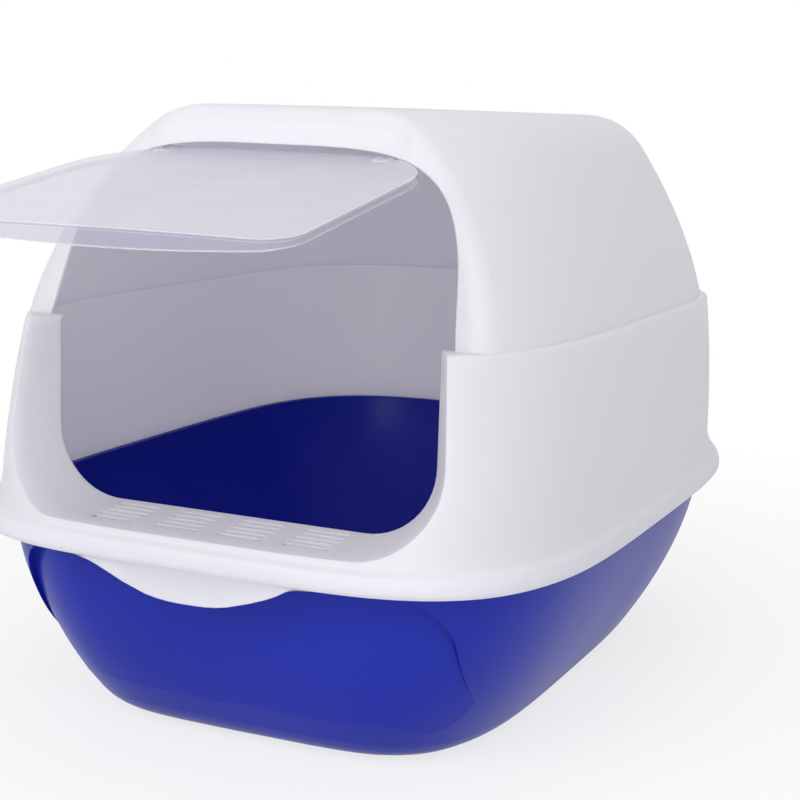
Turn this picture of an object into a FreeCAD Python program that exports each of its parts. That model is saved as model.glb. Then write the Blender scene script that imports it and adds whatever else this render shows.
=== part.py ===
import FreeCAD, Part
import math
import os

# Covered litter box: a deep pan, a one-piece hood that drops over its rim, a see-through entry flap
# on two stub pins, and a filter pad in a slotted holder under the roof vent.
# Millimetres. X to the right, Y to the back, Z up, the entry faces -Y.
# The origin is on the floor under the middle of the hood's skirt.

# Shared by all the mouldings
wall = 2.6
seat_gap = 0.3
pin_clearance = 0.05
overrun = 30.0
edge_tolerance = 0.02
plan_squareness = 4.2
loop_points = 32
level_shares = (0.0, 0.33, 0.67, 1.0)

# Pan: flat floor, leaning walls, a rim turned outwards and down
pan_height = 137.0
pan_floor_half_width = 134.0
pan_floor_front = 199.0
pan_floor_back = 195.0
pan_floor_round = 35.0
pan_rim_side_inset = 3.5
pan_rim_front_inset = 8.5
pan_rim_back_inset = 2.5
pan_belly = 13.0
rim_skirt_drop = 9.0
rim_clearance = 1.2

# Front panel of the pan, set back to leave room for fingers under the hood's lip
panel_half_width = 143.0
panel_top_drop = 19.0
panel_bottom = 30.0
panel_corner_round = 32.0
panel_depth = 9.0
panel_curve_points = 5

# Skirt of the hood: foot of the wall, flare and bead
skirt_cover = 14.0
skirt_height = 32.0
skirt_overhang = 9.5
skirt_flare_shares = ((0.0, 0.90), (0.10, 1.0), (0.32, 0.90), (0.60, 0.44), (0.80, 0.13), (1.0, 0.0))
foot_half_width = 190.5
foot_front = 264.5
foot_back = 264.5

# Drip lip that hangs from the front of the skirt
lip_drop = 18.5
lip_half_width = 78.0
lip_thickness = 3.0
lip_points = 9

# Wall of the hood up to the belt, where the dome is set back
wall_height = 116.0
belt_half_width = 180.0
belt_front = 256.0
belt_back = 264.0
belt_waist = 40.0
wall_bulge = 1.5
belt_round = 3.5

# Dome: leaning sides and back, flat roof, rounded shoulders
dome_height = 129.0
dome_root = 6.0
dome_half_width = 175.5
dome_front = 261.0
dome_back = 259.0
dome_roof_half_width = 115.0
dome_roof_front = 215.0
dome_roof_squareness = 2.2
dome_roof_back = 203.0
dome_belly = 8.0
shoulder_round = 50.0
brow_round = 15.0

# Entry: a U between the jambs, below a leaning arch in the dome
entry_setback = 214.0
entry_half_width = 125.0
entry_corner_round = 43.0
sill_rise = 7.0
sill_fall = 3.6
reveal_depth = 61.0
reveal_splay = 37.0
reveal_corner_round = 62.0
arch_lean = 18.4
arch_half_width = 133.0
arch_top_half_width = 120.0
arch_height = 107.0
arch_squareness = 4.2
arch_points = 17

# Drain slots in the sill
slot_columns = 4
slot_rows = 5
slot_length = 28.0
slot_width = 3.0
slot_column_pitch = 42.0
slot_row_pitch = 7.0
slot_first_setback = 9.0

# Flap and its hinge
hinge_setback = 172.5
hinge_drop = 6.0
flap_droop = 9.6
flap_half_width = 111.0
flap_heel_half_width = 109.0
flap_reach = 202.0
flap_heel = 4.0
flap_thickness = 2.2
flap_crown = 0.8
flap_side_depth = 4.8
flap_foot_depth = 10.5
flap_foot_round = 20.0
flap_heel_round = 66.0
lug_inner = 67.0
lug_width = 10.0
lug_length = 15.0
lug_depth = 5.0
pin_radius = 2.5
pin_length = 10.5
ear_side_gap = 1.8
ear_width = 7.0
ear_radius = 5.5
ear_height = 17.0

# Roof vent, filter holder and filter pad
vent_centre = 45.0
vent_slots = 7
vent_slot_length = 64.0
vent_slot_width = 5.0
vent_slot_pitch = 10.0
holder_half_width = 50.0
holder_half_length = 45.0
holder_depth = 14.0
holder_wall = 2.0
holder_flange = 7.0
holder_round = 8.0
rail_gap = 0.4
rail_thickness = 2.2
rail_hook = 5.0
pad_gap = 1.0
pad_thickness = 9.0

# Heights that follow from the stack of pan, hood and dome
seat_height = pan_height + seat_gap
panel_top = pan_height - panel_top_drop
skirt_bottom = pan_height - skirt_cover
skirt_top = skirt_bottom + skirt_height
sill_height = pan_height + sill_rise
belt_height = pan_height + wall_height
roof_height = belt_height + dome_height
arch_top = belt_height + arch_height
lean_slope = math.tan(math.radians(arch_lean))
hinge_height = arch_top - hinge_drop


def vec(x, y, z):
    return FreeCAD.Vector(x, y, z)


def unit_loop_points(front_squareness):
    # Rounded square by the superellipse formula, from the middle of the front and round to the right
    points = []
    for step in range(loop_points):
        turn = 2 * math.pi * step / loop_points - math.pi / 2
        across = math.cos(turn)
        along = math.sin(turn)
        power = plan_squareness if along > 0 else front_squareness
        size = (abs(across) ** power + abs(along) ** power) ** (-1 / power)
        points.append((size * across, size * along))
    return points


def loop_parameters():
    # One knot sequence for every loop, by chord length round the unit loop
    points = unit_loop_points(plan_squareness)
    lengths = [0.0]
    for here, ahead in zip(points, points[1:] + points[:1]):
        lengths.append(lengths[-1] + math.dist(here, ahead))
    return lengths


def plan_loop(half_width, front, back, waist, height, front_squareness=plan_squareness):
    # Closed rounded outline, widest at the waist, with its own reach to the front and to the back
    points = []
    for across, along in unit_loop_points(front_squareness):
        reach = back - waist if along > 0 else front + waist
        points.append(vec(half_width * across, waist + reach * along, height))
    curve = Part.BSplineCurve()
    curve.interpolate(Points=points, PeriodicFlag=True, Parameters=loop_parameters())
    return Part.Wire([curve.toShape()])


def stack(loops, straight=False):
    wires = [plan_loop(*loop) for loop in loops]
    return Part.makeLoft(wires, True, straight)


def shrink(loop, amount):
    half_width, front, back, waist, height = loop
    return half_width - amount, front - amount, back - amount, waist, height


def level_edges(solid, height):
    found = []
    for edge in solid.Edges:
        box = edge.BoundBox
        if abs(box.ZMin - height) < edge_tolerance and abs(box.ZMax - height) < edge_tolerance:
            found.append(edge)
    return found


def outline(points, rounds):
    # Closed wire through points, each corner rounded by its own radius
    count = len(points)
    edges = []
    starts = []
    ends = []
    for index, corner in enumerate(points):
        before = (points[index - 1] - corner).normalize()
        after = (points[(index + 1) % count] - corner).normalize()
        half_angle = before.getAngle(after) / 2
        setback = rounds[index] / math.tan(half_angle)
        starts.append(corner + before * setback)
        ends.append(corner + after * setback)
        if rounds[index] > 0:
            bisector = (before + after).normalize()
            centre = corner + bisector * (rounds[index] / math.sin(half_angle))
            middle = centre - bisector * rounds[index]
            edges.append(Part.Arc(starts[-1], middle, ends[-1]).toShape())
        else:
            edges.append(None)
    ordered = []
    for index in range(count):
        if edges[index]:
            ordered.append(edges[index])
        ordered.append(Part.LineSegment(ends[index], starts[(index + 1) % count]).toShape())
    return Part.Wire(ordered)


def prism(wire, travel):
    return Part.Face(wire).extrude(travel)


def block(x0, x1, y0, y1, z0, z1):
    return Part.makeBox(x1 - x0, y1 - y0, z1 - z0, vec(x0, y0, z0))


def fused(pieces):
    return pieces[0].fuse(pieces[1:]).removeSplitter()


def mirrored(solid):
    return solid.mirror(vec(0, 0, 0), vec(1, 0, 0))


# Pan

def pan_wall_loop(height, inset):
    # Leaning wall with a slight belly between the floor and the rim
    share = height / pan_height
    belly = pan_belly * math.sin(math.pi * share)

    def between(low, high):
        return low + (high - low) * share + belly - inset

    return (
        between(pan_floor_half_width, foot_half_width - pan_rim_side_inset),
        between(pan_floor_front, foot_front - pan_rim_front_inset),
        between(pan_floor_back, foot_back - pan_rim_back_inset),
        0.0,
        height,
    )


def pan_body(inset, floor, top):
    levels = [floor] + [pan_height * share for share in level_shares[1:-1]] + [top]
    body = stack([pan_wall_loop(level, inset) for level in levels])
    return body.makeFillet(pan_floor_round - inset, level_edges(body, floor))


def panel_section(height, inset):
    # Level section of the space ahead of the front panel, which sinks into the wall from its foot up
    half_width, front, back, waist, level = pan_wall_loop(height, inset)
    depth_share = (height - panel_bottom) / (panel_top - panel_bottom)
    reach = front - panel_depth * depth_share
    ring = unit_loop_points(plan_squareness)
    arc = ring[-panel_curve_points:] + ring[:panel_curve_points + 1]
    points = [vec(half_width * across, reach * along, level) for across, along in arc]
    curve = Part.BSplineCurve()
    curve.interpolate(Points=points)
    ahead = -(foot_front + 2 * overrun)
    right = vec(points[-1].x, ahead, level)
    left = vec(points[0].x, ahead, level)
    sides = [points[-1], right, left, points[0]]
    lines = [Part.LineSegment(start, end).toShape() for start, end in zip(sides, sides[1:])]
    return Part.Wire([curve.toShape()] + lines)


def front_panel_cut(grow):
    # What the front panel takes off the wall, grown by the wall for the inside
    bottom = panel_bottom - overrun
    top = panel_top + grow
    half = panel_half_width + grow
    corner = panel_corner_round + grow
    y = -(foot_front + overrun)
    corners = [vec(-half, y, bottom), vec(half, y, bottom), vec(half, y, top), vec(-half, y, top)]
    window = prism(outline(corners, [0.0, 0.0, corner, corner]), vec(0, foot_front, 0))
    sections = [panel_section(pan_height * share, grow) for share in level_shares]
    return window.common(Part.makeLoft(sections, True))


def rim_loop(height, inset):
    return shrink(pocket_loop(seat_height, height), rim_clearance + inset)


def make_pan():
    outside = pan_body(0.0, 0.0, pan_height).cut(front_panel_cut(0.0))
    rim_bottom = pan_height - wall
    rim = stack([rim_loop(rim_bottom, 0.0), rim_loop(pan_height, 0.0)])
    skirt_low = pan_height - rim_skirt_drop
    skirt = stack([rim_loop(skirt_low, 0.0), rim_loop(pan_height, 0.0)])
    skirt = skirt.cut(stack([rim_loop(skirt_low - overrun, wall), rim_loop(rim_bottom, wall)]))
    shell = fused([outside, rim, skirt])
    inside = pan_body(wall, wall, pan_height + wall).cut(front_panel_cut(wall))
    return shell.cut(inside)


# Hood

def skirt_loop(flare_share, height):
    flare = skirt_overhang * flare_share
    return shrink((foot_half_width, foot_front, foot_back, 0.0, height), -flare)


def pocket_loop(at_height, height):
    # Inside of the skirt at one height, drawn at another
    share = (at_height - skirt_bottom) / skirt_height
    for (low, low_flare), (high, high_flare) in zip(skirt_flare_shares, skirt_flare_shares[1:]):
        if low <= share <= high:
            flare_share = low_flare + (high_flare - low_flare) * (share - low) / (high - low)
    return shrink(skirt_loop(flare_share, height), wall)


def belt_loop(height):
    return belt_half_width, belt_front, belt_back, belt_waist, height


def middle_wall_loop():
    foot = skirt_loop(0.0, skirt_top)
    belt = belt_loop(belt_height)
    halfway = [(low + high) / 2 for low, high in zip(foot, belt)]
    half_width, front, back, waist, height = halfway
    return half_width + wall_bulge, front + wall_bulge, back + wall_bulge, waist, height


def collar_outside():
    flares = [(skirt_bottom + skirt_height * rise, flare) for rise, flare in skirt_flare_shares]
    skirt = stack([skirt_loop(flare, height) for height, flare in flares])
    wall_body = stack([skirt_loop(0.0, skirt_top), middle_wall_loop(), belt_loop(belt_height)])
    wall_body = wall_body.makeFillet(belt_round, level_edges(wall_body, belt_height))
    return skirt.fuse(wall_body)


def collar_inside():
    # Room inside the wall, a straight step down to the seat on the rim, and room for the rim in the skirt
    foot = skirt_loop(0.0, skirt_top)
    upper = stack([shrink(loop, wall) for loop in (foot, middle_wall_loop(), belt_loop(belt_height - wall))])
    step = stack([shrink(loop, wall) for loop in (skirt_loop(0.0, seat_height), foot)], True)
    mouth = pocket_loop(skirt_bottom, skirt_bottom - overrun)
    pocket_levels = [pocket_loop(height, height) for height in (skirt_bottom, seat_height)]
    return [upper, step, stack([mouth] + pocket_levels, True)]


def front_plane(height):
    return -entry_setback + lean_slope * (height - belt_height)


def ahead_of_front(shift):
    # Everything ahead of the leaning front plane, moved back by shift
    low = belt_height - overrun * 2
    high = roof_height + overrun
    far = -(foot_front + overrun * 4)
    side = foot_half_width + overrun
    corners = [vec(-side, far, low), vec(-side, front_plane(low) + shift, low),
               vec(-side, front_plane(high) + shift, high), vec(-side, far, high), vec(-side, far, low)]
    return prism(Part.makePolygon(corners), vec(2 * side, 0, 0))


def dome_loop(height, inset):
    # Leaning wall with a slight belly, and a front that gets rounder towards the roof
    share = (height - belt_height) / dome_height
    belly = dome_belly * math.sin(math.pi * share)

    def between(low, high):
        return low + (high - low) * share + belly - inset

    return (
        between(dome_half_width, dome_roof_half_width),
        between(dome_front, dome_roof_front),
        between(dome_back, dome_roof_back),
        belt_waist,
        height,
        plan_squareness + (dome_roof_squareness - plan_squareness) * share ** 2,
    )


def dome_body(inset):
    root = belt_height - dome_root
    top = roof_height - inset
    levels = [root + (top - root) * share for share in level_shares]
    body = stack([dome_loop(level, inset) for level in levels])
    body = body.makeFillet(shoulder_round - inset, level_edges(body, top))
    shift = inset / math.cos(math.radians(arch_lean))
    body = body.cut(ahead_of_front(shift))
    rim = []
    for edge in body.Edges:
        spots = [edge.valueAt(edge.FirstParameter + (edge.LastParameter - edge.FirstParameter) * share)
                 for share in level_shares]
        on_front = all(abs(spot.y - front_plane(spot.z) - shift) < edge_tolerance for spot in spots)
        if on_front and spots[1].z > root + edge_tolerance:
            rim.append(edge)
    return body.makeFillet(brow_round - inset, rim)


def arch_opening():
    points = []
    for step in range(arch_points):
        turn = math.pi * step / (arch_points - 1)
        power = 2.0 / arch_squareness
        rise = abs(math.sin(turn)) ** power
        half = arch_half_width + (arch_top_half_width - arch_half_width) * rise
        across = math.copysign(abs(math.cos(turn)) ** power, math.cos(turn))
        points.append(vec(half * across, 0, belt_height + arch_height * rise))
    curve = Part.BSplineCurve()
    curve.interpolate(Points=points)
    base = Part.LineSegment(points[-1], points[0]).toShape()
    wire = Part.Wire([curve.toShape(), base])
    wire.translate(vec(0, -(foot_front + overrun), 0))
    return prism(wire, vec(0, foot_front + overrun - hinge_setback + overrun, 0))


def entry_u(half_width, sill, corner, setback, top):
    corners = [vec(-half_width, -setback, top), vec(-half_width, -setback, sill),
               vec(half_width, -setback, sill), vec(half_width, -setback, top)]
    return outline(corners, [0, corner, corner, 0])


def entry_funnel(grow, top):
    # Splayed passage from the front of the hood to the inner edge of the jambs and sill
    half = entry_half_width + grow
    sill = sill_height - grow
    inner = entry_u(half, sill, entry_corner_round + grow, entry_setback, top)
    outer = entry_u(half + reveal_splay, sill - sill_fall, reveal_corner_round + grow,
                    entry_setback + reveal_depth, top)
    return Part.makeLoft([inner, outer], True, True)


def entry_passage():
    # The funnel, carried on behind the jambs and just past the belt into the arch
    inner = entry_u(entry_half_width, sill_height, entry_corner_round, entry_setback, belt_height + wall)
    return [entry_funnel(0.0, belt_height + overrun), prism(inner, vec(0, overrun, 0))]


def stadium(length, width, centre, travel):
    # Slot with round ends
    radius = width / 2
    reach = length / 2 - radius
    right = Part.Arc(vec(reach, -radius, 0), vec(reach + radius, 0, 0), vec(reach, radius, 0)).toShape()
    left = Part.Arc(vec(-reach, radius, 0), vec(-reach - radius, 0, 0), vec(-reach, -radius, 0)).toShape()
    far_side = Part.LineSegment(vec(reach, radius, 0), vec(-reach, radius, 0)).toShape()
    near_side = Part.LineSegment(vec(-reach, -radius, 0), vec(reach, -radius, 0)).toShape()
    slot = prism(Part.Wire([right, far_side, left, near_side]), travel)
    slot.translate(centre)
    return slot


def sill_slots():
    slots = []
    for column in range(slot_columns):
        x = (column - (slot_columns - 1) / 2) * slot_column_pitch
        for row in range(slot_rows):
            y = -(entry_setback + slot_first_setback + row * slot_row_pitch)
            centre = vec(x, y, pan_height)
            slots.append(stadium(slot_length, slot_width, centre, vec(0, 0, overrun)))
    return slots


def drip_lip():
    foot_flare = skirt_flare_shares[0][1]
    low = skirt_bottom - lip_drop - overrun
    high = skirt_bottom + wall
    ring = stack([skirt_loop(foot_flare, height) for height in (low, high)], True)
    core = stack([shrink(skirt_loop(foot_flare, height), lip_thickness)
                  for height in (low - overrun, high + overrun)], True)
    points = []
    for step in range(lip_points):
        share = 2 * step / (lip_points - 1) - 1
        fall = lip_drop * (1 + math.cos(math.pi * share)) / 2
        points.append(vec(lip_half_width * share, -(foot_front + overrun), skirt_bottom - fall))
    curve = Part.BSplineCurve()
    curve.interpolate(Points=points, InitialTangent=vec(1, 0, 0), FinalTangent=vec(1, 0, 0))
    lift = vec(0, 0, wall * 2)
    edges = [curve.toShape(), Part.LineSegment(points[-1], points[-1] + lift).toShape(),
             Part.LineSegment(points[-1] + lift, points[0] + lift).toShape(),
             Part.LineSegment(points[0] + lift, points[0]).toShape()]
    return ring.cut(core).common(prism(Part.Wire(edges), vec(0, foot_front, 0)))


def hinge_ear():
    # Ear behind the arch, with the hole that takes one stub pin of the flap
    start = lug_inner + lug_width + ear_side_gap
    barrel = Part.makeCylinder(ear_radius, ear_width, vec(start, -hinge_setback, hinge_height), vec(1, 0, 0))
    web = block(start, start + ear_width, -hinge_setback - ear_radius, -hinge_setback + ear_radius,
                hinge_height, hinge_height + ear_height)
    hole = Part.makeCylinder(pin_radius + pin_clearance, ear_width + overrun,
                             vec(start - overrun / 2, -hinge_setback, hinge_height), vec(1, 0, 0))
    return fused([barrel, web]).cut(ahead_of_front(wall / 2)), hole


def vent_openings():
    slots = []
    for index in range(vent_slots):
        y = vent_centre + (index - (vent_slots - 1) / 2) * vent_slot_pitch
        centre = vec(0, y, roof_height - wall - overrun / 2)
        slots.append(stadium(vent_slot_length, vent_slot_width, centre, vec(0, 0, overrun)))
    return slots


def holder_rail():
    # L-shaped runner under the roof that carries one flange of the filter holder
    ceiling = roof_height - wall
    inner = holder_half_width + holder_flange + rail_gap
    low = ceiling - holder_wall - 2 * rail_gap - rail_thickness
    y0 = vent_centre - holder_half_length
    y1 = vent_centre + holder_half_length
    leg = block(inner, inner + rail_thickness, y0, y1, low, ceiling + wall / 2)
    hook = block(inner - rail_hook, inner + rail_thickness, y0, y1, low, low + rail_thickness)
    return fused([leg, hook])


def make_hood():
    collar = collar_outside()
    outside = collar.fuse(dome_body(0.0))
    hood = outside.cut(collar_inside() + [dome_body(wall)])
    liner = entry_funnel(wall, belt_height).common(collar)
    hood = hood.fuse([liner, drip_lip()])
    hood = hood.cut(entry_passage() + [arch_opening()])
    hood = hood.cut(sill_slots())
    hood = hood.cut(vent_openings())
    ear, hole = hinge_ear()
    rail = holder_rail()
    hood = hood.fuse([ear, mirrored(ear), rail, mirrored(rail)])
    return hood.cut([hole, mirrored(hole)])


# Flap, drawn level with its hinge line on the X axis and then swung and lifted to its place

def flap_outline(inset, low):
    # Tapers from the free edge to the hinge
    foot_half = flap_half_width - inset
    heel_half = flap_heel_half_width - inset
    heel = flap_heel - inset
    foot = -flap_reach + inset
    corners = [vec(-heel_half, heel, low), vec(-foot_half, foot, low),
               vec(foot_half, foot, low), vec(heel_half, heel, low)]
    foot_round = flap_foot_round - inset
    heel_round = flap_heel_round - inset
    return outline(corners, [heel_round, foot_round, foot_round, heel_round])


def bow_radius(rise):
    # Radius of the arc that rises by this much from the flap's edges to its middle
    return (flap_half_width ** 2 + rise ** 2) / (2 * rise)


def bow_cylinder(radius, centre_height):
    start = vec(0, -flap_reach - overrun, centre_height)
    return Part.makeCylinder(radius, flap_reach + 2 * overrun, start, vec(0, 1, 0))


def crowned(inset, drop):
    # Flap outline under the crowned face, moved down by drop
    radius = bow_radius(flap_crown) - drop
    face = flap_thickness / 2 + flap_crown
    body = prism(flap_outline(inset, -flap_foot_depth - overrun), vec(0, 0, flap_foot_depth + 2 * overrun))
    return body.common(bow_cylinder(radius, face - drop - radius))


def make_flap():
    # A shallow tray, deepest in the middle of its free edge
    lowest = flap_thickness / 2 + flap_crown - flap_foot_depth
    radius = bow_radius(flap_foot_depth - flap_crown - flap_side_depth)
    tray = crowned(0.0, 0.0).common(bow_cylinder(radius, lowest + radius))
    tray = tray.cut(crowned(flap_thickness, flap_thickness))
    lug = block(lug_inner, lug_inner + lug_width, -lug_length, 0, -pin_radius, flap_thickness)
    barrel = Part.makeCylinder(lug_depth / 2, lug_width, vec(lug_inner, 0, 0), vec(1, 0, 0))
    pin = Part.makeCylinder(pin_radius, pin_length + lug_width, vec(lug_inner, 0, 0), vec(1, 0, 0))
    arm = fused([lug, barrel, pin])
    flap = fused([tray, arm, mirrored(arm)])
    flap.rotate(vec(0, 0, 0), vec(1, 0, 0), flap_droop)
    flap.translate(vec(0, -hinge_setback, hinge_height))
    return flap


# Filter

def filter_outline(inset, height):
    # Rounded rectangle under the vent, set in from the outside of the holder
    half = holder_half_width - inset
    near = vent_centre - holder_half_length + inset
    far = vent_centre + holder_half_length - inset
    corners = [vec(-half, near, height), vec(half, near, height),
               vec(half, far, height), vec(-half, far, height)]
    return outline(corners, [max(holder_round - inset, holder_wall)] * len(corners))


def make_filter_holder():
    top = roof_height - wall - rail_gap
    low = top - holder_depth
    tray = prism(filter_outline(0.0, low), vec(0, 0, holder_depth))
    reach = holder_half_width + holder_flange
    flange = block(-reach, reach, vent_centre - holder_half_length, vent_centre + holder_half_length,
                   top - holder_wall, top)
    space = prism(filter_outline(holder_wall, low + holder_wall), vec(0, 0, holder_depth))
    slots = vent_openings()
    for slot in slots:
        slot.translate(vec(0, 0, low - (roof_height - wall)))
    return fused([tray, flange]).cut([space] + slots)


def make_filter_pad():
    low = roof_height - wall - rail_gap - holder_depth + holder_wall
    return prism(filter_outline(holder_wall + pad_gap, low), vec(0, 0, pad_thickness))


def main():
    os.makedirs("parts", exist_ok=True)
    nodes = {
        "litter_pan": make_pan(),
        "hood": make_hood(),
        "entry_flap": make_flap(),
        "filter_holder": make_filter_holder(),
        "carbon_filter": make_filter_pad(),
    }
    for name, shape in nodes.items():
        solids = shape.Solids
        print(name, "solids", len(solids), "valid", shape.isValid(), "volume", round(shape.Volume))
        result = solids[0] if len(solids) == 1 else Part.makeCompound(solids)
        result.exportStep("parts/" + name + ".step")


main()
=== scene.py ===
import math
import bmesh
import bpy
from mathutils import Matrix, Vector, noise


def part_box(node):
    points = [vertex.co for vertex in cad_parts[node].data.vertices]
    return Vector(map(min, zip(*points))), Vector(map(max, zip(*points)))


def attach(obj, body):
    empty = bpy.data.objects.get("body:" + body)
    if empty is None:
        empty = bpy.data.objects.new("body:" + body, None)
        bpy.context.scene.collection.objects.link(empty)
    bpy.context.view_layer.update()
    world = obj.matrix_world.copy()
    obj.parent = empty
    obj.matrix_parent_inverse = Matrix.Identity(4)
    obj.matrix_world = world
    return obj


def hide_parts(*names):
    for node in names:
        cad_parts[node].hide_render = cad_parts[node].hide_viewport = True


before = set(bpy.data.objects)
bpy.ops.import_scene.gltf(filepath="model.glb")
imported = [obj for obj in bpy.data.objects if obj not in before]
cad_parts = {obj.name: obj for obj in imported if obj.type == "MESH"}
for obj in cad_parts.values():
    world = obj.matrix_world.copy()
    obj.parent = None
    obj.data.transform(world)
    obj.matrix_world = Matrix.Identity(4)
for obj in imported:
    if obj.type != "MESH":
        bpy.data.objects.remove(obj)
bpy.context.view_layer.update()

print("frame loaded:", ", ".join(sorted(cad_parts)))


# small helpers for pieces

def addPiece(name, data):
    piece = bpy.data.objects.new(name, data)
    bpy.context.collection.objects.link(piece)
    return piece


def meshData(name, mesh):
    data = bpy.data.meshes.new(name)
    mesh.to_mesh(data)
    mesh.free()
    return data


def paint(piece, material):
    piece.data.materials.clear()
    piece.data.materials.append(material)


# small helpers for node materials

def newMaterial(name):
    material = bpy.data.materials.new(name)
    material.use_nodes = True
    tree = material.node_tree
    return material, tree, tree.nodes["Principled BSDF"]


def objectPoint(tree):
    return tree.nodes.new("ShaderNodeTexCoord").outputs["Object"]


def grain(tree, point, scale, detail, rough=0.5):
    node = tree.nodes.new("ShaderNodeTexNoise")
    node.inputs["Scale"].default_value = scale
    node.inputs["Detail"].default_value = detail
    node.inputs["Roughness"].default_value = rough
    tree.links.new(point, node.inputs["Vector"])
    return node.outputs["Fac"]


def spread(tree, value, low, high, fromLow=0.3, fromHigh=0.7):
    node = tree.nodes.new("ShaderNodeMapRange")
    node.inputs["From Min"].default_value = fromLow
    node.inputs["From Max"].default_value = fromHigh
    node.inputs["To Min"].default_value = low
    node.inputs["To Max"].default_value = high
    tree.links.new(value, node.inputs["Value"])
    return node.outputs["Result"]


def tint(tree, value, dark, pale, low=0.3, high=0.7):
    node = tree.nodes.new("ShaderNodeValToRGB")
    node.color_ramp.elements[0].position = low
    node.color_ramp.elements[0].color = (*dark, 1)
    node.color_ramp.elements[1].position = high
    node.color_ramp.elements[1].color = (*pale, 1)
    tree.links.new(value, node.inputs["Fac"])
    return node.outputs["Color"]


def mathStep(tree, kind, first, second=None):
    node = tree.nodes.new("ShaderNodeMath")
    node.operation = kind
    tree.links.new(first, node.inputs[0])
    if second:
        tree.links.new(second, node.inputs[1])
    return node.outputs["Value"]


def relief(tree, value, strength, depth, normal=None):
    node = tree.nodes.new("ShaderNodeBump")
    node.inputs["Strength"].default_value = strength
    node.inputs["Distance"].default_value = depth
    tree.links.new(value, node.inputs["Height"])
    if normal:
        tree.links.new(normal, node.inputs["Normal"])
    return node.outputs["Normal"]


def softEdge(tree, radius, samples=6):
    node = tree.nodes.new("ShaderNodeBevel")
    node.samples = samples
    node.inputs["Radius"].default_value = radius
    return node.outputs["Normal"]


def mixShaders(tree, share, first, second, out):
    mix = tree.nodes.new("ShaderNodeMixShader")
    if isinstance(share, float):
        mix.inputs["Fac"].default_value = share
    else:
        tree.links.new(share, mix.inputs["Fac"])
    tree.links.new(first, mix.inputs[1])
    tree.links.new(second, mix.inputs[2])
    tree.links.new(mix.outputs["Shader"], out.inputs["Surface"])


# hood and pan: moulded plastic with faint flow marks and an orange-peel skin
# the walls are thin, so part of the light comes through to the other side

hoodFinish = {
    "dark": (0.865, 0.865, 0.88), "pale": (0.885, 0.885, 0.9), "flowScale": 5.0,
    "roughLow": 0.29, "roughHigh": 0.34, "smudgeScale": 10.0,
    "skinScale": 700.0, "skinStrength": 0.25, "skinDepth": 0.00002, "edge": 0.0014,
    "ior": 1.49, "specular": 0.5, "through": 0.4, "throughColour": (0.97, 0.94, 0.985),
}
panFinish = {
    "dark": (0.012, 0.024, 0.37), "pale": (0.016, 0.032, 0.43), "flowScale": 5.0,
    "roughLow": 0.29, "roughHigh": 0.33, "smudgeScale": 10.0,
    "skinScale": 620.0, "skinStrength": 0.25, "skinDepth": 0.00002, "edge": 0.0012,
    "ior": 1.49, "specular": 0.22, "through": 0.2, "throughColour": (0.012, 0.03, 0.7),
}


def makeShellPlastic(name, s):
    material, tree, shader = newMaterial(name)
    point = objectPoint(tree)
    flow = grain(tree, point, s["flowScale"], 3.0)
    tree.links.new(tint(tree, flow, s["dark"], s["pale"]), shader.inputs["Base Color"])
    smudge = grain(tree, point, s["smudgeScale"], 3.0)
    tree.links.new(spread(tree, smudge, s["roughLow"], s["roughHigh"]), shader.inputs["Roughness"])
    skin = grain(tree, point, s["skinScale"], 1.0)
    bumps = relief(tree, skin, s["skinStrength"], s["skinDepth"], softEdge(tree, s["edge"]))
    tree.links.new(bumps, shader.inputs["Normal"])
    shader.inputs["IOR"].default_value = s["ior"]
    shader.inputs["Specular IOR Level"].default_value = s["specular"]
    glow = tree.nodes.new("ShaderNodeBsdfTranslucent")
    glow.inputs["Color"].default_value = (*s["throughColour"], 1)
    mixShaders(tree, s["through"], shader.outputs["BSDF"], glow.outputs["BSDF"],
               tree.nodes["Material Output"])
    return material


# flap: milky see-through plastic, clearer at the rim, with a painted highlight along its edges: the
# edges are coloured lighter and made less see-through

flapFinish = {
    # the edge colour and the edge cover below are a painted highlight along the flap's edges
    "rim": (0.45, 0.45, 0.57), "face": (0.65, 0.65, 0.73), "paintedHighlightColour": (0.93, 0.93, 0.96),
    "rimCover": 0.36, "faceCover": 0.66, "coverDrift": 0.05, "paintedHighlightCover": 0.3,
    "uprightLevel": 0.2, "flatLevel": 0.9,  # how far a surface faces up or down
    "edge": 0.0016, "sharpTurn": 0.8, "smoothTurn": 0.97,
    "flowScale": 9.0, "smudgeScale": 45.0, "roughLow": 0.18, "roughHigh": 0.26,
    "skinScale": 500.0, "skinStrength": 0.2, "skinDepth": 0.00001, "ior": 1.49,
}


def paintedHighlightMask(tree):
    # mask for the painted edge highlight: near one where two faces meet at an edge, nought on smooth
    # ground
    s = flapFinish
    turn = tree.nodes.new("ShaderNodeVectorMath")
    turn.operation = "DOT_PRODUCT"
    tree.links.new(softEdge(tree, s["edge"]), turn.inputs[0])
    tree.links.new(tree.nodes.new("ShaderNodeNewGeometry").outputs["Normal"], turn.inputs[1])
    return spread(tree, turn.outputs["Value"], 1.0, 0.0, s["sharpTurn"], s["smoothTurn"])


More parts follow.
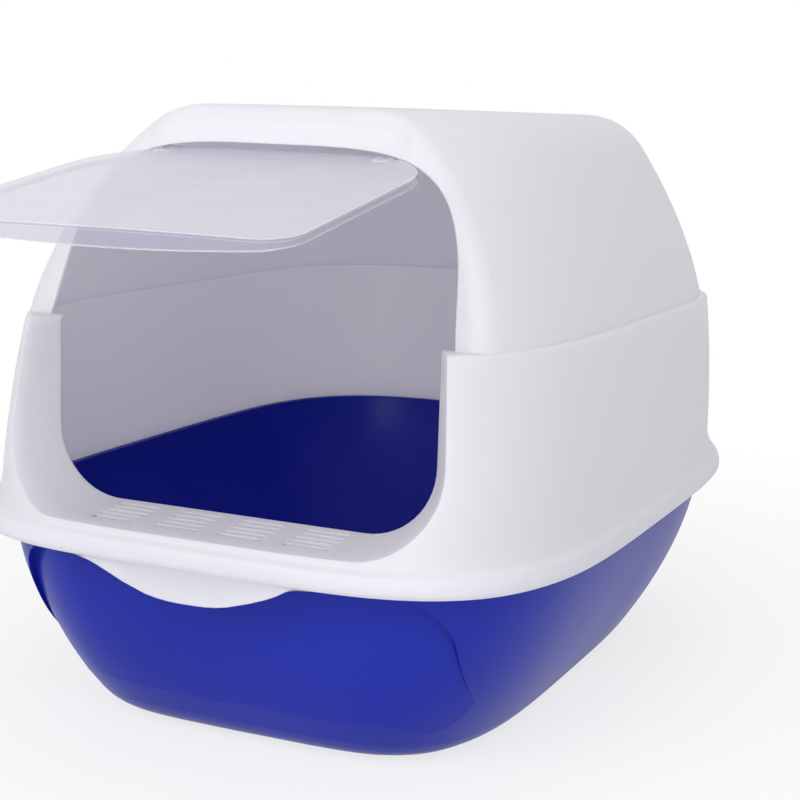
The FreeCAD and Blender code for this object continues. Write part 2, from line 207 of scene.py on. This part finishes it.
def makeFlapPlastic():
    s = flapFinish
    material, tree, shader = newMaterial("flapPlastic")
    point = objectPoint(tree)
    flow = grain(tree, point, s["flowScale"], 3.0)
    # mask of where the painted highlight goes along the flap's edges
    edge = paintedHighlightMask(tree)
    axes = tree.nodes.new("ShaderNodeSeparateXYZ")
    tree.links.new(tree.nodes.new("ShaderNodeTexCoord").outputs["Normal"], axes.inputs["Vector"])
    flat = mathStep(tree, "ABSOLUTE", axes.outputs["Z"])
    levels = s["uprightLevel"], s["flatLevel"]
    # the flap's edges are mixed towards a light colour: a painted highlight
    mix = tree.nodes.new("ShaderNodeMix")
    mix.data_type = "RGBA"
    tree.links.new(edge, mix.inputs["Factor"])
    tree.links.new(tint(tree, flat, s["rim"], s["face"], *levels), mix.inputs["A"])
    mix.inputs["B"].default_value = (*s["paintedHighlightColour"], 1)
    tree.links.new(mix.outputs["Result"], shader.inputs["Base Color"])
    cover = spread(tree, flat, s["rimCover"], s["faceCover"], *levels)
    drift = spread(tree, flow, -s["coverDrift"], s["coverDrift"])
    # the edges are also made less see-through, as part of the same painted highlight
    paintedHighlightGain = spread(tree, edge, 0.0, s["paintedHighlightCover"], 0.0, 1.0)
    cover = mathStep(tree, "ADD", mathStep(tree, "ADD", cover, drift), paintedHighlightGain)
    tree.links.new(cover, shader.inputs["Alpha"])
    smudge = grain(tree, point, s["smudgeScale"], 4.0, 0.6)
    tree.links.new(spread(tree, smudge, s["roughLow"], s["roughHigh"]), shader.inputs["Roughness"])
    skin = grain(tree, point, s["skinScale"], 1.0)
    tree.links.new(relief(tree, skin, s["skinStrength"], s["skinDepth"]), shader.inputs["Normal"])
    shader.inputs["IOR"].default_value = s["ior"]
    return material


# filter holder: plainer white plastic

holderFinish = {
    "dark": (0.70, 0.70, 0.72), "pale": (0.76, 0.76, 0.78), "flowScale": 18.0,
    "roughLow": 0.42, "roughHigh": 0.55,
    "skinScale": 900.0, "skinStrength": 0.4, "skinDepth": 0.00015, "edge": 0.0004,
}


def makeHolderPlastic():
    s = holderFinish
    material, tree, shader = newMaterial("holderPlastic")
    point = objectPoint(tree)
    flow = grain(tree, point, s["flowScale"], 3.0)
    tree.links.new(tint(tree, flow, s["dark"], s["pale"]), shader.inputs["Base Color"])
    tree.links.new(spread(tree, flow, s["roughLow"], s["roughHigh"]), shader.inputs["Roughness"])
    skin = grain(tree, point, s["skinScale"], 2.0)
    bumps = relief(tree, skin, s["skinStrength"], s["skinDepth"], softEdge(tree, s["edge"]))
    tree.links.new(bumps, shader.inputs["Normal"])
    return material


def dressFrame():
    finishes = {
        "litter_pan": makeShellPlastic("panPlastic", panFinish),
        "entry_flap": makeFlapPlastic(),
        "filter_holder": makeHolderPlastic(),
    }
    for node, material in finishes.items():
        paint(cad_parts[node], material)
    print("frame dressed:", len(finishes), "finishes")


# the hood is shown as a copy of the solid's mesh, with a rolled foot, a fuller lip
# and ears that end flush under the brow

footRoll = {
    "level": 0.123, "halfWidth": 0.1905, "halfLength": 0.2645, "square": 4.2, "inside": 0.95,
    "cuts": (0.0012, 0.0024, 0.0038, 0.005, 0.011, 0.0118, 0.0126,  # above the foot
             0.0134, 0.0142, 0.015, 0.017, 0.019, 0.023, 0.027),
    "cutSlack": 0.00005,
    "steps": (  # rise above the foot, how far out of the wall, slope
        (0.0, -0.0012, 0.5), (0.005, 0.0, 0.0), (0.011, 0.0, 0.0),
        (0.015, -0.0015, -0.06), (0.018, -0.0016, 0.0), (0.032, 0.0, 0.0),
    ),
}


def rollAt(rise):
    # how far the skin stands out of the wall at this rise, and its slope
    steps = footRoll["steps"]
    for (low, outLow, slopeLow), (high, outHigh, slopeHigh) in zip(steps, steps[1:]):
        if low <= rise <= high:
            span = high - low
            share = (rise - low) / span
            start, end, gain = slopeLow * span, slopeHigh * span, outHigh - outLow
            bend = 3 * gain - 2 * start - end
            twist = start + end - 2 * gain
            out = outLow + share * (start + share * (bend + share * twist))
            slope = (start + share * (2 * bend + 3 * share * twist)) / span
            return out, slope
    return 0.0, 0.0


def onFootSkin(face):
    # outer faces of the skirt, from its foot to the top of the roll
    s = footRoll
    top = s["level"] + s["steps"][-1][0]
    spot = face.calc_center_median()
    reach = abs(spot.x / s["halfWidth"]) ** s["square"] + abs(spot.y / s["halfLength"]) ** s["square"]
    facesOut = face.normal.x * spot.x + face.normal.y * spot.y > 0
    heights = [vert.co.z for vert in face.verts]
    return reach > s["inside"] and facesOut and max(heights) > s["level"] and min(heights) < top


def awayFrom(place, half):
    return math.copysign(abs(place / half) ** (footRoll["square"] - 1) / half, place)


def spotKey(vert):
    return tuple(round(c, 5) for c in vert.co)


def rollFoot(mesh, normals):
    # cut the skin in rings near its foot, turn its normals, then move it along its outline
    s = footRoll
    for cut in s["cuts"]:
        skin = [face for face in mesh.faces if onFootSkin(face)]
        parts = dict.fromkeys(part for face in skin for part in (face, *face.edges, *face.verts))
        bmesh.ops.bisect_plane(mesh, geom=list(parts), dist=s["cutSlack"],
                               plane_co=(0, 0, s["level"] + cut), plane_no=(0, 0, 1))
    skin = [face for face in mesh.faces if onFootSkin(face)]
    for face in skin:
        for corner in face.loops:
            slope = rollAt(corner.vert.co.z - s["level"])[1]
            normal = corner[normals]
            upSkin = Vector((0, 0, 1)) - normal.z * normal
            corner[normals] = (normal - slope * upSkin).normalized()
    spots = {spotKey(vert) for face in skin for vert in face.verts}
    for vert in mesh.verts:
        if spotKey(vert) in spots:  # also the points of faces that meet the skin there
            x, y, z = vert.co
            away = Vector((awayFrom(x, s["halfWidth"]), awayFrom(y, s["halfLength"]), 0))
            vert.co += away.normalized() * rollAt(z - s["level"])[0]
    return len(spots)


lipShape = {"level": 0.123, "half": 0.078, "fullness": 1.35, "reach": 0.98, "slack": 0.0001}


def lipFall(share, fullness):
    return (1 + math.cos(math.pi * min(1.0, share) ** fullness)) / 2


def fillLip(mesh):
    s = lipShape
    moved = 0
    for vert in mesh.verts:
        share = abs(vert.co.x) / s["half"]
        if vert.co.z < s["level"] - s["slack"] and share < s["reach"]:
            gain = lipFall(share, s["fullness"]) / lipFall(share, 1.0)
            vert.co.z = s["level"] - (s["level"] - vert.co.z) * gain
            moved += 1
    return moved


earTrim = {  # right side, mirrored for the left
    "corner": (0.0858, -0.17345, 0.371), "flush": (0.0858, -0.1726, 0.3693),
    "browNormal": (0.2, -0.74, 0.64), "slack": 0.0001,
}


def trimEars(mesh, normals):
    s = earTrim
    corners = [vert for vert in mesh.verts
               if (Vector((abs(vert.co.x), *vert.co.yz)) - Vector(s["corner"])).length < s["slack"]]
    across, along, up = s["browNormal"]
    for vert in corners:
        side = vert.co.x
        vert.co = (math.copysign(s["flush"][0], side), *s["flush"][1:])
        for face in vert.link_faces:
            for corner in face.loops:
                corner[normals] = Vector((math.copysign(across, side), along, up)).normalized()
    return len(corners)


def makeHoodSkin():
    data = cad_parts["hood"].data.copy()
    data.name = "hoodSkin"
    # the solid's own normals go along as a layer, so that new points get them too
    kept = data.attributes.new("keptNormal", "FLOAT_VECTOR", "CORNER")
    kept.data.foreach_set("vector", [c for corner in data.corner_normals for c in corner.vector])
    mesh = bmesh.new()
    mesh.from_mesh(data)
    normals = mesh.loops.layers.float_vector["keptNormal"]
    rolled = rollFoot(mesh, normals)
    fuller = fillLip(mesh)
    trimmed = trimEars(mesh, normals)
    mesh.to_mesh(data)
    mesh.free()
    turned = [corner.vector.copy() for corner in data.attributes["keptNormal"].data]
    data.attributes.remove(data.attributes["keptNormal"])
    data.normals_split_custom_set(turned)
    skin = addPiece("hoodSkin", data)
    paint(skin, makeShellPlastic("hoodPlastic", hoodFinish))
    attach(skin, "hood")
    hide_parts("hood")
    print("hood skin made:", rolled, "foot points,", fuller, "lip points,", trimmed, "ear points")


# felt pad that lies in the holder

feltFinish = {
    "dark": (0.012, 0.012, 0.013), "pale": (0.045, 0.045, 0.047),
    "fibreScale": 900.0, "fibreStrength": 0.9, "fibreDepth": 0.0008,
    "cloudScale": 60.0, "roughLow": 0.85, "roughHigh": 0.98, "sheen": 0.25,
}


def makeFelt():
    s = feltFinish
    material, tree, shader = newMaterial("filterFelt")
    point = objectPoint(tree)
    fibre = grain(tree, point, s["fibreScale"], 6.0, 0.7)
    cloud = grain(tree, point, s["cloudScale"], 3.0)
    tree.links.new(tint(tree, fibre, s["dark"], s["pale"]), shader.inputs["Base Color"])
    tree.links.new(spread(tree, cloud, s["roughLow"], s["roughHigh"]), shader.inputs["Roughness"])
    tree.links.new(relief(tree, fibre, s["fibreStrength"], s["fibreDepth"]), shader.inputs["Normal"])
    shader.inputs["Sheen Weight"].default_value = s["sheen"]
    return material


padShape = {
    "steps": 44, "round": 0.007, "crown": 0.0008, "crownFrom": 0.8,
    "fuzz": 0.00025, "fuzzScale": 400, "seed": 3,
}


def roundCorner(flat, half, radius):
    # bring a point of the pad's outline in, where an upright corner is rounded
    inner = Vector([max(radius - h, min(h - radius, f)) for f, h in zip(flat, half)])
    out = flat - inner
    return inner + out.normalized() * radius if out.length > radius else flat


def makeFeltPad():
    s = padShape
    low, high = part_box("carbon_filter")
    middle = (low + high) / 2
    half = (high - low) / 2
    mesh = bmesh.new()
    bmesh.ops.create_cube(mesh, size=2.0)
    bmesh.ops.subdivide_edges(mesh, edges=mesh.edges[:], cuts=s["steps"], use_grid_fill=True)
    for vert in mesh.verts:
        unit = vert.co.copy()
        flat = roundCorner(Vector((unit.x * half.x, unit.y * half.y)), half.xy, s["round"])
        edge = max(abs(unit.x), abs(unit.y))
        drop = s["crown"] * max(0.0, edge - s["crownFrom"]) / (1 - s["crownFrom"])
        spot = Vector((flat.x, flat.y, unit.z * half.z)) * s["fuzzScale"] + Vector((s["seed"], 0, 0))
        fuzz = s["fuzz"] * (noise.noise(spot) - 0.5)
        vert.co = Vector((flat.x, flat.y, unit.z * (half.z - drop) + fuzz)) + middle
    data = meshData("feltPad", mesh)
    pad = addPiece("feltPad", data)
    for face in data.polygons:
        face.use_smooth = True
    paint(pad, makeFelt())
    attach(pad, "filter")
    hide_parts("carbon_filter")
    print("felt pad made:", len(data.vertices), "points")


# floor, light and camera

studioFloor = {
    "size": 30.0, "drop": 0.0003, "dark": (0.891, 0.891, 0.891), "pale": (0.9, 0.9, 0.9),
    "shadeScale": 0.6, "rough": 0.9,
    "near": 0.4, "far": 0.9, "nearWhite": 0.75,  # seen directly, plain white from far on
}


def directRay(tree):
    # one for rays from the camera, from gloss and through see-through plastic
    path = tree.nodes.new("ShaderNodeLightPath")
    value = path.outputs["Is Camera Ray"]
    for kind in ("Is Glossy Ray", "Is Transmission Ray"):
        value = mathStep(tree, "MAXIMUM", value, path.outputs[kind])
    return value


def makeFloor():
    s = studioFloor
    mesh = bmesh.new()
    bmesh.ops.create_grid(mesh, x_segments=2, y_segments=2, size=s["size"] / 2)
    floor = addPiece("studioFloor", meshData("studioFloor", mesh))
    floor.location.z = -s["drop"]
    material, tree, shader = newMaterial("studioFloorPaint")
    point = objectPoint(tree)
    shade = grain(tree, point, s["shadeScale"], 1.0)
    tree.links.new(tint(tree, shade, s["dark"], s["pale"]), shader.inputs["Base Color"])
    shader.inputs["Roughness"].default_value = s["rough"]
    away = tree.nodes.new("ShaderNodeVectorMath")
    away.operation = "LENGTH"
    tree.links.new(point, away.inputs[0])
    white = spread(tree, away.outputs["Value"], s["nearWhite"], 1.0, s["near"], s["far"])
    seen = mathStep(tree, "MULTIPLY", white, directRay(tree))
    plain = tree.nodes.new("ShaderNodeEmission")
    mixShaders(tree, seen, shader.outputs["BSDF"], plain.outputs["Emission"],
               tree.nodes["Material Output"])
    paint(floor, material)
    print("floor laid")


studioLight = {
    "skyColour": (0.97, 0.98, 1.0), "skyStrength": 0.58,
    "lamps": (  # name, place, aim, width, height, power
        ("keyLamp", (0.9, -2.0, 2.1), (0.0, -0.1, 0.2), 2.2, 1.4, 25.0),
        ("lowLamp", (1.1, -2.9, 0.6), (0.0, -0.1, 0.2), 2.0, 0.9, 13.0),
        ("fillLamp", (-1.0, -2.3, 1.4), (0.0, -0.1, 0.2), 1.8, 1.2, 18.0),
        ("topLamp", (0.2, 0.3, 2.6), (0.0, 0.0, 0.2), 2.2, 2.2, 8.0),
    ),
}


def makeLight():
    s = studioLight
    world = bpy.data.worlds.new("studioSky")
    bpy.context.scene.world = world
    world.use_nodes = True
    tree = world.node_tree
    tree.nodes.clear()
    sky = tree.nodes.new("ShaderNodeBackground")
    sky.inputs["Color"].default_value = (*s["skyColour"], 1)
    sky.inputs["Strength"].default_value = s["skyStrength"]
    white = tree.nodes.new("ShaderNodeBackground")
    white.inputs["Color"].default_value = (1, 1, 1, 1)
    mixShaders(tree, directRay(tree), sky.outputs["Background"], white.outputs["Background"],
               tree.nodes.new("ShaderNodeOutputWorld"))
    for name, place, aim, width, height, power in s["lamps"]:
        data = bpy.data.lights.new(name, "AREA")
        data.shape = "RECTANGLE"
        data.size = width
        data.size_y = height
        data.energy = power
        lamp = addPiece(name, data)
        lamp.location = place
        lamp.rotation_euler = (Vector(aim) - Vector(place)).to_track_quat("-Z", "Y").to_euler()
    print("studio lit:", len(s["lamps"]), "lamps")


photoCamera = {
    "place": (0.484925, -1.085789, 0.387261), "turn": 23.765, "down": 9.782, "roll": 1.92,
    "lens": 77.953, "sensor": 36.0,
}


def makeCamera():
    s = photoCamera
    turn, down, roll = (math.radians(s[angle]) for angle in ("turn", "down", "roll"))
    level = math.cos(down)
    ahead = Vector((-math.sin(turn) * level, math.cos(turn) * level, -math.sin(down)))
    right = Vector((math.cos(turn), math.sin(turn), 0))
    up = right.cross(ahead)
    across = right * math.cos(roll) + up * math.sin(roll)
    upright = up * math.cos(roll) - right * math.sin(roll)
    data = bpy.data.cameras.new("photoCamera")
    data.sensor_width = s["sensor"]
    data.lens = s["lens"]
    camera = addPiece("photoCamera", data)
    axes = Matrix((across, upright, -ahead)).transposed().to_4x4()
    camera.matrix_world = Matrix.Translation(s["place"]) @ axes
    bpy.context.scene.camera = camera
    print("camera placed")


bpy.context.scene.view_settings.view_transform = "Standard"
dressFrame()
makeHoodSkin()
makeFeltPad()
makeFloor()
makeLight()
makeCamera()
